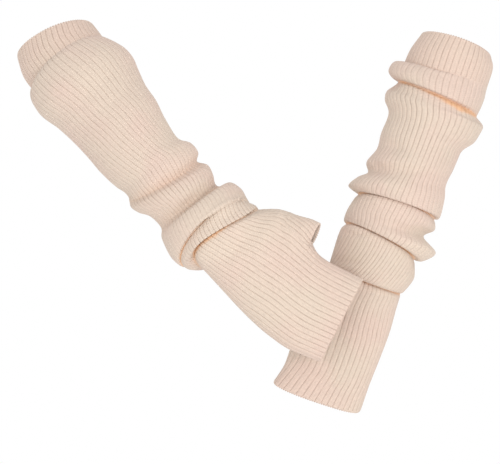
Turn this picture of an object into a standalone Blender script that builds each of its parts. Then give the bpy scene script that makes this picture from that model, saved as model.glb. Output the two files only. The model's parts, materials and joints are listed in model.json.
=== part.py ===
"""Pair of rib-knitted arm warmers, each pushed down into soft folds.

Each warmer is a top band, one long sleeve tube with an open lower end, and a
short thumb tube. Sizes in the tables are millimetres, the scene is metres, +Z
up and the viewer looks along +Y. The origin is the middle of the right
warmer's upper opening.
"""

import math
from bisect import bisect_right
from collections import namedtuple

import bmesh
import bpy
from mathutils import Vector

MM = 0.001

# Driving sizes of the cloth, in millimetres
SLEEVE_WALL = 2.4
BAND_WALL = 2.8
THUMB_WALL = 2.2
RIB_DEPTH = 1.0
SEAM_GAP = 0.3

# Raised ribs around each tube
SLEEVE_RIBS = 45
THUMB_RIBS = 16

# Outer points for each rib, one on its crest and one in the groove beside it
RIB_POINTS = 2

# Outer points for each point of the plain inside
SLEEVE_STEP = 5
THUMB_STEP = 2

# Fine points that a section's length is measured over
MEASURE_POINTS = 360

# How much smaller all round the thumb hole is than the inside of the thumb tube
HOLE_INSET = 0.2

# A section of a tube: the left and right edge that it has from the front, how
# far its front rises toward the band and its back drops the other way, the
# depth of its middle, its reach to the front and to the back, how square its
# curve is (2 is an ellipse), how much more its front rises on the left than on
# the right, and how far round its ribs have turned, as a share of the whole way
FIELDS = "left_x left_z right_x right_z rise drop y front back square slant turn"
Section = namedtuple("Section", FIELDS)

RIGHT_BAND = [
    # left_x left_z right_x right_z rise drop y front back square slant turn
    Section(-34.5, -15.5, 34.5, 15.5, 13.5, 13.5, 0.0, 36.0, 36.0, 2.0, 0.0, 0.0),
    Section(-29.0, -31.5, 39.0, 10.0, 14.0, 14.0, -4.0, 38.0, 38.0, 2.0, 0.0, 0.0),
    Section(-20.0, -44.0, 43.0, 4.5, 14.5, 14.5, -8.0, 38.0, 38.0, 2.0, 0.0, -0.005),
]

# Wide upper part, soft crests and troughs, two deep folds, flat lower end
RIGHT_SLEEVE = [
    # left_x left_z right_x right_z rise drop y front back square slant turn
    Section(-22.0, -50.5, 48.5, 2.5, 15.0, 15.0, -11.0, 41.0, 41.0, 2.0, 0.0, -0.005),
    Section(-17.5, -60.5, 62.5, -5.0, 14.0, 14.0, -16.0, 46.0, 45.0, 2.0, 0.0, -0.01),
    Section(-11.5, -67.5, 69.5, -12.5, 12.5, 12.5, -20.0, 46.5, 45.0, 2.0, 0.0, -0.015),
    Section(3.0, -78.0, 75.0, -25.0, 11.0, 11.0, -26.0, 43.0, 42.0, 2.0, 0.0, -0.025),
    Section(19.0, -93.0, 81.0, -38.0, 10.0, 10.0, -32.0, 40.0, 40.0, 2.0, 0.0, -0.035),
    Section(31.5, -106.5, 91.0, -52.5, 10.0, 10.0, -38.0, 39.0, 39.0, 2.0, 0.0, -0.05),
    Section(41.0, -117.5, 99.0, -68.5, 9.0, 9.0, -43.0, 37.5, 38.0, 2.0, 0.0, -0.06),
    Section(55.0, -130.5, 112.0, -87.5, 6.5, 6.5, -49.0, 35.5, 37.0, 2.0, 0.0, -0.075),
    Section(62.0, -135.0, 122.5, -91.0, 3.0, 3.0, -51.0, 36.5, 36.0, 2.0, 0.0, -0.08),
    Section(66.0, -139.5, 129.0, -99.5, 0.0, 0.0, -53.0, 37.5, 39.0, 2.0, 0.0, -0.08),
    Section(67.0, -143.5, 128.0, -107.5, -3.5, -3.5, -54.0, 33.5, 34.0, 2.0, 0.0, -0.08),
    Section(68.5, -149.0, 137.5, -110.5, -2.0, -2.0, -55.0, 37.5, 37.0, 2.0, 0.0, -0.08),
    Section(76.0, -154.0, 142.5, -119.5, -1.0, -1.0, -56.5, 39.5, 40.0, 2.0, 0.0, -0.08),
    Section(85.5, -157.0, 144.0, -127.0, 0.0, 0.0, -58.0, 36.5, 38.0, 2.0, 0.0, -0.075),
    Section(95.5, -167.0, 148.5, -130.0, 1.0, 1.0, -59.0, 31.0, 33.0, 2.0, 0.0, -0.065),
    Section(96.0, -175.5, 158.0, -126.5, 4.0, 4.0, -60.0, 37.0, 36.0, 2.0, 0.0, -0.06),
    Section(99.0, -183.5, 167.5, -132.0, 8.0, 8.0, -61.5, 40.5, 39.0, 2.0, 0.0, -0.05),
    Section(105.0, -194.5, 172.0, -139.5, 12.0, 12.0, -63.0, 41.5, 39.0, 2.0, 0.0, -0.04),
    Section(111.5, -200.5, 174.0, -143.0, 14.5, 14.5, -64.5, 40.0, 37.5, 2.0, 0.0, -0.035),
    Section(115.0, -201.5, 175.5, -145.5, 16.5, 11.5, -65.0, 33.0, 32.0, 2.0, 0.0, -0.02),
    Section(118.5, -203.5, 178.0, -146.0, 12.5, 14.0, -65.5, 37.0, 36.0, 2.0, 3.0, 0.0),
    Section(125.0, -203.0, 181.0, -147.5, 8.0, 14.5, -66.5, 38.5, 36.0, 2.2, 9.5, 0.02),
    Section(129.5, -201.5, 182.0, -150.5, 10.5, 13.0, -67.5, 29.5, 28.0, 2.2, 10.5, 0.015),
    Section(133.5, -205.0, 187.0, -150.5, 8.5, 13.5, -69.0, 31.0, 27.0, 2.2, 8.5, 0.01),
    Section(143.0, -215.0, 196.0, -150.5, 6.5, 9.0, -72.0, 28.5, 24.5, 2.1, 4.0, 0.005),
    Section(155.0, -228.0, 207.0, -154.0, 4.0, 4.0, -75.5, 26.0, 22.5, 2.2, 1.0, -0.015),
    Section(168.0, -242.0, 219.5, -167.0, 2.0, 2.0, -79.0, 23.5, 20.5, 2.3, 0.0, -0.035),
    Section(181.0, -254.5, 229.0, -182.5, 0.5, 0.5, -82.0, 21.5, 19.0, 2.4, 0.0, -0.055),
    Section(195.0, -266.0, 241.5, -194.5, 0.0, 0.0, -84.5, 20.0, 18.0, 2.5, 0.0, -0.06),
    Section(209.0, -275.5, 255.5, -202.5, 0.0, 0.0, -86.5, 18.5, 17.5, 2.6, 0.0, -0.06),
    Section(223.5, -281.5, 266.5, -208.0, 0.0, 0.0, -88.0, 17.5, 17.0, 2.6, 0.0, -0.06),
    Section(237.0, -287.0, 275.5, -212.5, 0.0, 0.0, -89.0, 17.0, 17.0, 2.6, 0.0, -0.06),
]

RIGHT_THUMB = [
    # left_x left_z right_x right_z rise drop y front back square slant turn
    Section(199.0, -180.0, 203.0, -158.5, 0.0, 0.0, -78.0, 11.0, 11.0, 2.0, 0.0, 0.0),
    Section(211.0, -182.0, 212.0, -157.5, 0.5, 0.5, -80.5, 12.0, 12.0, 2.0, 0.0, 0.0),
    Section(222.0, -184.0, 222.5, -158.0, 1.0, 1.0, -82.5, 12.5, 12.5, 2.0, 0.0, 0.0),
    Section(228.0, -186.0, 232.0, -160.0, 1.5, 1.5, -83.5, 12.0, 12.0, 2.0, 0.0, 0.0),
    Section(232.0, -187.5, 239.0, -163.5, 2.0, 2.0, -84.0, 11.5, 11.5, 2.0, 0.0, 0.0),
]

LEFT_BAND = [
    # left_x left_z right_x right_z rise drop y front back square slant turn
    Section(330.0, 7.5, 393.5, -14.5, 6.5, 6.5, -13.0, 41.0, 41.0, 2.0, 0.0, 0.0),
    Section(320.5, -5.5, 395.0, -23.5, 6.0, 6.0, -15.0, 42.0, 42.0, 2.0, 0.0, 0.0),
    Section(314.5, -18.5, 389.5, -41.5, 3.5, 3.5, -17.0, 41.0, 41.0, 2.0, 0.0, 0.0),
]

# Four deep folds, the last one at the narrowest part, then the flat lower end
LEFT_SLEEVE = [
    # left_x left_z right_x right_z rise drop y front back square slant turn
    Section(306.5, -17.0, 388.5, -45.0, 3.5, 3.5, -17.5, 43.0, 43.0, 2.0, 0.0, 0.0),
    Section(300.5, -24.5, 387.0, -51.5, 3.5, 3.5, -18.5, 45.5, 45.0, 2.0, 0.0, 0.0),
    Section(303.0, -30.5, 384.0, -59.0, 3.0, 3.0, -19.5, 46.0, 45.0, 2.0, 0.0, 0.0),
    Section(307.5, -33.5, 381.5, -64.0, 2.5, 2.5, -20.5, 45.0, 44.0, 2.0, 0.0, 0.0),
    Section(309.0, -35.5, 380.0, -67.5, 3.0, -1.0, -21.0, 37.0, 38.0, 2.0, 0.0, 0.0),
    Section(305.5, -39.0, 383.0, -71.0, -1.5, -1.5, -21.5, 42.0, 41.5, 2.0, 0.0, -0.005),
    Section(299.0, -43.5, 386.0, -76.0, 0.0, 0.0, -22.0, 44.0, 43.0, 2.0, 0.0, -0.005),
    Section(297.0, -51.5, 383.0, -83.0, 2.0, 2.0, -23.0, 44.0, 43.0, 2.0, 0.0, -0.01),
    Section(300.5, -63.0, 378.0, -90.5, 2.0, 2.0, -24.0, 41.0, 41.0, 2.0, 0.0, -0.015),
    Section(293.5, -82.0, 367.0, -98.0, 2.0, 2.0, -26.0, 39.0, 39.5, 2.0, 0.0, -0.025),
    Section(290.0, -95.5, 363.0, -105.5, 2.0, 2.0, -27.5, 38.5, 39.0, 2.0, 0.0, -0.03),
    Section(280.5, -108.0, 358.5, -116.0, 3.0, 3.0, -28.5, 39.5, 40.0, 2.0, 0.0, -0.035),
    Section(281.5, -117.5, 354.5, -124.0, 4.0, 4.0, -29.5, 36.5, 37.0, 2.0, 0.0, -0.04),
    Section(272.5, -121.5, 352.0, -130.5, 3.5, 3.5, -30.0, 40.0, 38.5, 2.0, 0.0, -0.045),
    Section(264.0, -129.0, 351.0, -142.0, 3.5, 3.5, -30.5, 42.0, 41.0, 2.0, 0.0, -0.05),
    Section(271.0, -135.0, 346.5, -158.5, 3.5, 3.5, -31.5, 41.0, 40.0, 2.0, 0.0, -0.055),
    Section(273.0, -137.0, 341.5, -160.0, 6.0, 0.0, -32.0, 33.5, 34.0, 2.0, 0.0, -0.06),
    Section(269.5, -140.5, 342.5, -164.0, 1.5, 1.5, -32.5, 38.0, 37.0, 2.0, 0.0, -0.065),
    Section(264.0, -149.0, 341.5, -170.0, 1.0, 1.0, -33.0, 39.0, 38.5, 2.0, 0.0, -0.07),
    Section(261.0, -155.5, 332.0, -175.5, 1.5, 1.5, -33.5, 37.5, 36.0, 2.0, 0.0, -0.08),
    Section(260.0, -159.5, 343.0, -190.5, 2.5, 2.5, -34.0, 39.5, 38.0, 2.0, 0.0, -0.09),
    Section(260.5, -161.5, 331.0, -197.5, 3.5, 3.5, -34.5, 38.0, 36.0, 2.0, 0.0, -0.095),
    Section(262.0, -163.5, 323.5, -196.0, 5.5, -0.5, -35.0, 29.5, 30.0, 2.0, 0.0, -0.1),
    Section(257.5, -167.5, 324.0, -200.0, 1.0, 1.0, -35.0, 32.0, 32.0, 2.0, 0.0, -0.095),
    Section(252.5, -181.0, 323.5, -212.5, -1.0, -1.0, -35.0, 32.0, 33.0, 2.0, 0.0, -0.07),
    Section(247.0, -199.5, 313.5, -225.5, -3.5, -3.5, -35.0, 29.0, 30.0, 2.0, 0.0, -0.035),
    Section(248.0, -202.0, 311.0, -226.5, -1.0, -6.0, -35.0, 22.0, 24.0, 2.0, 0.0, -0.03),
    Section(242.5, -206.5, 310.5, -230.0, -4.0, -4.0, -35.0, 25.0, 26.0, 2.0, 0.0, -0.02),
    Section(232.5, -217.5, 307.0, -241.5, -4.5, -4.5, -35.0, 23.0, 24.0, 2.1, 0.0, -0.01),
    Section(226.0, -233.0, 302.5, -258.0, -5.0, -5.0, -34.5, 21.0, 22.5, 2.2, 0.0, -0.005),
    Section(220.5, -249.0, 297.0, -274.0, -5.0, -5.0, -34.0, 20.0, 21.0, 2.4, 0.0, 0.0),
    Section(210.5, -279.5, 284.5, -305.5, -5.5, -5.5, -32.5, 18.5, 19.0, 2.5, 0.0, 0.005),
    Section(206.0, -291.5, 280.0, -318.0, -5.5, -5.5, -31.5, 18.0, 18.0, 2.6, 0.0, 0.02),
    Section(197.5, -304.5, 275.5, -331.0, -5.5, -5.5, -30.5, 17.5, 17.5, 2.6, 0.0, 0.03),
]

LEFT_THUMB = [
    # left_x left_z right_x right_z rise drop y front back square slant turn
    Section(235.5, -220.0, 250.0, -236.5, 0.0, 0.0, -34.5, 11.0, 11.0, 2.0, 0.0, 0.0),
    Section(221.0, -222.5, 238.5, -241.0, 0.0, 0.0, -34.5, 12.0, 12.0, 2.0, 0.0, 0.0),
    Section(211.5, -229.0, 229.0, -248.0, 0.0, 0.0, -34.0, 12.5, 12.5, 2.0, 0.0, 0.0),
    Section(202.0, -236.0, 217.0, -256.0, 0.0, 0.0, -33.5, 11.5, 11.5, 2.0, 0.0, 0.0),
]

# Base colour and roughness of the knit
BLUSH_KNIT = ((0.83, 0.66, 0.57, 1.0), 0.95)
BAND_KNIT = ((0.77, 0.62, 0.54, 1.0), 0.95)


def clear_scene():
    for item in list(bpy.data.objects):
        bpy.data.objects.remove(item, do_unlink=True)


def new_collection(name):
    collection = bpy.data.collections.new(name)
    bpy.context.scene.collection.children.link(collection)
    return collection


def knit_material(name, finish):
    colour, roughness = finish
    material = bpy.data.materials.new(name)
    material.use_nodes = True
    shader = material.node_tree.nodes["Principled BSDF"]
    shader.inputs["Base Color"].default_value = colour
    shader.inputs["Roughness"].default_value = roughness
    shader.inputs["Metallic"].default_value = 0.0
    return material


def section_frame(section):
    """The middle of a section, its half width and its directions across and up the tube."""
    left = Vector((section.left_x, section.y, section.left_z))
    right = Vector((section.right_x, section.y, section.right_z))
    across = (right - left) / 2
    half = across.length
    across.normalize()
    up = Vector((-across.z, 0.0, across.x))
    return (left + right) / 2, half, across, up


def section_point(section, angle):
    """A point of the section's curve: angle 0 is its right edge, a quarter turn its front."""
    middle, half, across, up = section_frame(section)
    power = 2 / section.square
    turn_x = math.copysign(abs(math.cos(angle)) ** power, math.cos(angle))
    turn_y = math.copysign(abs(math.sin(angle)) ** power, math.sin(angle))
    reach = section.front if turn_y > 0 else section.back
    lift = section.rise - section.slant * turn_x if turn_y > 0 else section.drop
    return middle + across * half * turn_x + up * lift * turn_y + Vector((0, -reach * turn_y, 0))


def ring(section, count):
    """Points equally far apart along a section's curve.

    They start at its turn past the right edge and run on by way of the front.
    """
    fine = [section_point(section, math.tau * i / MEASURE_POINTS) for i in range(MEASURE_POINTS + 1)]
    run = [0.0]
    for a, b in zip(fine, fine[1:]):
        run.append(run[-1] + (b - a).length)
    points = []
    for k in range(count):
        target = run[-1] * ((k / count + section.turn) % 1.0)
        step = bisect_right(run, target, hi=MEASURE_POINTS) - 1
        share = (target - run[step]) / (run[step + 1] - run[step])
        points.append(fine[step].lerp(fine[step + 1], share))
    return points


def outward(rings):
    """The outward direction at each point of a grid of rings that run down the tube."""
    count = len(rings[0])
    last = len(rings) - 1
    normals = []
    for i, points in enumerate(rings):
        above = rings[max(i - 1, 0)]
        below = rings[min(i + 1, last)]
        row = []
        for j in range(count):
            around = points[(j + 1) % count] - points[j - 1]
            down = below[j] - above[j]
            row.append(around.cross(down).normalized())
        normals.append(row)
    return normals


def moved_down(section, distance):
    """The same section a little further down the tube, in the plane of the front view."""
    up = section_frame(section)[3]
    shift = up * -distance
    return section._replace(
        left_x=section.left_x + shift.x,
        left_z=section.left_z + shift.z,
        right_x=section.right_x + shift.x,
        right_z=section.right_z + shift.z,
    )


def add_mesh(name, rows, faces, collection, material=None):
    """An object from rows of points in millimetres and faces that index them in order."""
    bm = bmesh.new()
    verts = [bm.verts.new(point * MM) for row in rows for point in row]
    for face in faces:
        bm.faces.new([verts[i] for i in face])
    mesh = bpy.data.meshes.new(name)
    bm.to_mesh(mesh)
    bm.free()
    piece = bpy.data.objects.new(name, mesh)
    collection.objects.link(piece)
    if material:
        mesh.materials.append(material)
    return piece


def skin_faces(first, count, rows, inward=False):
    """Quads between neighbouring rows of a closed tube whose points start at index first."""
    faces = []
    for i in range(rows - 1):
        for j in range(count):
            a = first + i * count + j
            b = first + i * count + (j + 1) % count
            quad = [a, b, b + count, a + count]
            faces.append(quad[::-1] if inward else quad)
    return faces


def rim_faces(outer, inner, inner_count, step, flip):
    """The flat edge of a wall: one face for each stretch of the inside."""
    outer_count = inner_count * step
    faces = []
    for k in range(inner_count):
        face = [inner + (k + 1) % inner_count, inner + k]
        face += [outer + (k * step + j) % outer_count for j in range(step + 1)]
        faces.append(face[::-1] if flip else face)
    return faces


def knitted_tube(name, sections, ribs, step, wall, collection, material):
    """A hollow tube with ribs raised in its outer points and a plain inside."""
    count = RIB_POINTS * ribs
    inner_count = count // step
    crests = [ring(section, count) for section in sections]
    normals = outward(crests)
    outer = []
    inner = []
    for points, directions in zip(crests, normals):
        pairs = list(zip(points, directions))
        outer.append([p - d * RIB_DEPTH * (j % RIB_POINTS) for j, (p, d) in enumerate(pairs)])
        inner.append([p - d * wall for p, d in pairs[::step]])
    rows = len(sections)
    inner_first = count * rows
    faces = skin_faces(0, count, rows)
    faces += skin_faces(inner_first, inner_count, rows, inward=True)
    faces += rim_faces(0, inner_first, inner_count, step, flip=True)
    last_outer = count * (rows - 1)
    last_inner = inner_first + inner_count * (rows - 1)
    faces += rim_faces(last_outer, last_inner, inner_count, step, flip=False)
    return add_mesh(name, outer + inner, faces, collection, material)


def filled_tube(name, sections, ribs, offset, collection):
    """A closed solid of a tube's smooth outer form, grown or shrunk by an offset."""
    count = RIB_POINTS * ribs
    crests = [ring(section, count) for section in sections]
    normals = outward(crests)
    rows = [[p + d * offset for p, d in zip(*pair)] for pair in zip(crests, normals)]
    faces = skin_faces(0, count, len(rows))
    faces.append(list(range(count))[::-1])
    last = count * (len(rows) - 1)
    faces.append([last + j for j in range(count)])
    solid = add_mesh(name, rows, faces, collection)
    solid.hide_render = True
    solid.display_type = "WIRE"
    return solid


def cut(piece, cutter):
    modifier = piece.modifiers.new("cut_by_" + cutter.name, "BOOLEAN")
    modifier.operation = "DIFFERENCE"
    modifier.solver = "EXACT"
    modifier.object = cutter


def arm_warmer(side, band, sleeve, thumb, parts, cutters):
    """One warmer: its band, its sleeve with the thumb hole, and the thumb tube set round the hole."""
    knit = knit_material(side + "_knit", BLUSH_KNIT)
    band_knit = knit_material(side + "_band_knit", BAND_KNIT)
    thumb_knit = knit_material(side + "_thumb_knit", BLUSH_KNIT)
    knitted_tube(side + "_top_band", band, SLEEVE_RIBS, SLEEVE_STEP, BAND_WALL, parts, band_knit)
    below_seam = [moved_down(band[-1], SEAM_GAP)] + sleeve
    tube = knitted_tube(
        side + "_sleeve", below_seam, SLEEVE_RIBS, SLEEVE_STEP, SLEEVE_WALL, parts, knit
    )
    stub = knitted_tube(side + "_thumb", thumb, THUMB_RIBS, THUMB_STEP, THUMB_WALL, parts, thumb_knit)
    hole = filled_tube(side + "_thumb_hole", thumb, THUMB_RIBS, -THUMB_WALL - HOLE_INSET, cutters)
    form = filled_tube(side + "_sleeve_form", below_seam, SLEEVE_RIBS, SEAM_GAP, cutters)
    cut(tube, hole)
    cut(stub, form)


def main():
    clear_scene()
    parts = new_collection("knitted_arm_warmers")
    cutters = new_collection("cutters")
    arm_warmer("right", RIGHT_BAND, RIGHT_SLEEVE, RIGHT_THUMB, parts, cutters)
    arm_warmer("left", LEFT_BAND, LEFT_SLEEVE, LEFT_THUMB, parts, cutters)


main()
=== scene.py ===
"""The knitted finish of a pair of arm warmers, and the white studio that shows it.

Every tube is a fine cloth shell on the form of its solid. Geometry Nodes raise
its ribs and set the loops of its edges. Sizes in the tables are millimetres and
the scene is metres, in the frame of the solids.
"""

import json
import math
from collections import namedtuple

import bpy
import numpy as np
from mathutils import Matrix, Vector
from mathutils.bvhtree import BVHTree

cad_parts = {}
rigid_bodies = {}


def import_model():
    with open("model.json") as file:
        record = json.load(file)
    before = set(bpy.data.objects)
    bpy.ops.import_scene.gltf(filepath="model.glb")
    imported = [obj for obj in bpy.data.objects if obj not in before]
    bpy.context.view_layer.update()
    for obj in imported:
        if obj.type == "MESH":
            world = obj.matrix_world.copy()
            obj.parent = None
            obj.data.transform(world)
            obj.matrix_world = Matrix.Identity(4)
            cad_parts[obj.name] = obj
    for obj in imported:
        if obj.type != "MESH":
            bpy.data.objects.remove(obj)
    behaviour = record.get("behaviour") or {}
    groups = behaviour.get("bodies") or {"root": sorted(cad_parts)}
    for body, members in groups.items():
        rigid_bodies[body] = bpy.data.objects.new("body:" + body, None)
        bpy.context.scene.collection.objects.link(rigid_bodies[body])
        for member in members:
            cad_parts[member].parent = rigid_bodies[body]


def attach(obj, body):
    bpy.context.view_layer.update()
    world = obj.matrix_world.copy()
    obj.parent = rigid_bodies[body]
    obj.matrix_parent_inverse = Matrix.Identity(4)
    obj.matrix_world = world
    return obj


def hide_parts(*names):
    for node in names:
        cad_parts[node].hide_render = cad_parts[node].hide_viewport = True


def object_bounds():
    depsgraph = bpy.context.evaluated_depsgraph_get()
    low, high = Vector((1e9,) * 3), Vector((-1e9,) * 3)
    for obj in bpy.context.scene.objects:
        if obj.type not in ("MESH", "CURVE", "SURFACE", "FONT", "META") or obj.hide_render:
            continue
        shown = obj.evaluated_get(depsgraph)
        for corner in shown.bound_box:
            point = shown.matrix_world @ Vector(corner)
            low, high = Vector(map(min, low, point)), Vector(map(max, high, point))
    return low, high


MM = 0.001

# The picture that the camera makes, in pixels, and what one of them measures
PICTURE_WIDTH = 500
PICTURE_HEIGHT = 464
PIXEL = 0.9
# The pixel that the model's origin falls on
ORIGIN_X = 55
ORIGIN_Y = 42

# Cloth, in millimetres
SLEEVE_WALL = 2.4
BAND_WALL = 2.8
THUMB_WALL = 2.2
SEAM_GAP = 0.3
SLEEVE_RIBS = 45
THUMB_RIBS = 16
STITCH = 1.5
# How much of a thumb tube's length stands out of the sleeve
THUMB_SHOWN = 0.8

# Relief of the ribs: how deep it is and how uneven the cloth, in millimetres, how
# wide a groove is as a share of half a rib, and how deep a rib's rounded crown
# and the groove along its middle are as shares of the depth
RIB_DEPTH = 0.75
UNEVENNESS = 0.7
GROOVE_SHARE = 0.2
CROWN_SHARE = 0.5
MIDDLE_SHARE = 0.3
# How strongly noise breaks up the grooves
GROOVE_BREAKS = 1.6
# The least share of the relief that a sleeve keeps, what clear ribs and a fold's
# gap add, and the shares along an edge from its inner to its outer row
LEAST_RELIEF = 0.4
CLEAR_RELIEF = 0.6
GAP_RELIEF = 0.5
EDGE_RELIEF = (0.1, 0.8)

# The yarn loops of an edge, in millimetres: the radius of a loop on a wide edge
# and on a thumb's, the radius of the yarn, and how far in from the edge they sit
LOOP_RADIUS = 0.9
THUMB_LOOP_RADIUS = 0.4
YARN_RADIUS = 0.4
LOOP_INSET = 0.5
LOOPS_PER_RIB = 2
LOOP_LEAN = math.radians(35)

# Points across one rib, as shares of it, from one groove to the next
RIB_POINTS = (0.0, 0.08, 0.22, 0.5, 0.78, 0.92)
# Distance between two rows of the outside, and its rows and points for each one
# inside
ROW_SPACING = 1.35
INNER_ROWS = 3
INNER_POINTS = 3
# Steps round an edge, and points that a section's girth is measured with
ROUND_STEPS = 5
MEASURE_POINTS = 720
# How far round a section its front is, as a share of the way from its right edge
FRONT_SHARE = 0.25

# How far from a thumb's joint the sleeve and the thumb tube swell, how far out
# they do so there, and the least share of that which counts as outward
JOINT_REACH = 16.0
JOINT_SWELL = 4.0
JOINT_OUTWARD = 0.5
# Rows of a thumb tube at its open end that the sleeve doesn't swell toward
FREE_ROWS = 6
# How much smaller than the thumb tube's inside the hole for it is, and how far
# below the sleeve's outside the tube's inner end goes
HOLE_MARGIN = 0.2
THUMB_SINK = 1.3
# How long a stretch of a sleeve its ribs run straight for
STRAIGHT_REACH = 16.0
# How far the painted shade of a fold's gap fades along the cloth, and its soft
# painted shade, and how fast the dark narrows toward the edges of the front
GAP_EDGE = 1.2
SOFT_REACH = 7.0
GAP_FACING = 2
# How far below its gap the cloth of a fold bulges most, and how fast the bulge
# fades where the cloth turns away, and where it has gone
BULGE_PLACE = 4.0
BULGE_FACING = 1.6
BULGE_CUTOFF = 0.4
# Points along a crease, where on a half wave it starts and how much of the wave it
# covers, the power of the wave, and how fast it fades where the cloth turns away
CREASE_POINTS = 25
CREASE_START = 0.06
CREASE_SPAN = 0.88
CREASE_POWER = 0.7
CREASE_FACING = 2.5

# Colours of the knit: pale and blush for the sleeves and the bands, and painted
# shade for the grooves, for the cloth beside a fold's gap, in the gap (a warm shade
# as if lit by bounced light) and deep in it
SLEEVE_PALE = (0.645, 0.535, 0.445, 1.0)
SLEEVE_BLUSH = (0.655, 0.51, 0.435, 1.0)
BAND_PALE = (0.64, 0.52, 0.43, 1.0)
BAND_BLUSH = (0.65, 0.505, 0.425, 1.0)
GROOVE_SHADE_COLOUR = (0.42, 0.31, 0.25, 1.0)
SOFT_SHADE_COLOUR = (0.58, 0.40, 0.29, 1.0)
GAP_SHADE_COLOUR = (0.79, 0.46, 0.25, 1.0)
DEEP_SHADE_COLOUR = (0.46, 0.25, 0.13, 1.0)
# How strong the last three of those painted shades are at the most
SOFT_SHADE_SHARE = 0.25
GAP_SHADE_SHARE = 0.85
DEEP_SHADE_SHARE = 0.3
# How steeply the legs of a stitch lean, and how much of its height is loose fibre
STITCH_SLOPE = 1.5
FIBRE_SHARE = 0.5

# The studio, in metres: the camera's distance and the depth it looks at, and how
# far below the object the floor is and how far out it goes
CAMERA_DISTANCE = 8.0
TARGET_Y = -0.045
FLOOR_DROP = 0.45
FLOOR_REACH = 4.0
WHITE = (1.0, 1.0, 1.0, 1.0)
# A soft lamp: its place from the middle of the object, its width and its power
Lamp = namedtuple("Lamp", "name place width power")
LAMPS = (
    Lamp("key", (-0.6, -2.4, -0.1), 0.8, 6.5),
    Lamp("fill", (0.9, -2.3, -0.2), 0.6, 16.0),
)
LAMP_COLOUR = (1.0, 0.98, 0.95)

# A tube to be knitted: its open end is its first or its last ring
Tube = namedtuple("Tube", "node rings folds ribs wall open_end loop_radius knit")

# A section of a tube: the left and right edge that it has from the front, how
# far its front rises toward the band and its back drops the other way, the
# depth of its middle, its reach to the front and to the back, how square its
# curve is (2 is an ellipse), how much more its front rises on the left than on
# the right, and how far round its ribs have turned, as a share of the whole way
FIELDS = "left_x left_z right_x right_z rise drop y front back square slant turn"
Section = namedtuple("Section", FIELDS)

RIGHT_BAND = [
    # left_x left_z right_x right_z rise drop y front back square slant turn
    Section(-34.5, -15.5, 34.5, 15.5, 13.5, 13.5, 0.0, 36.0, 36.0, 2.0, 0.0, 0.0),
    Section(-29.0, -31.5, 39.0, 10.0, 14.0, 14.0, -4.0, 38.0, 38.0, 2.0, 0.0, 0.0),
    Section(-20.0, -44.0, 43.0, 4.5, 14.5, 14.5, -8.0, 38.0, 38.0, 2.0, 0.0, -0.005),
]

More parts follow.
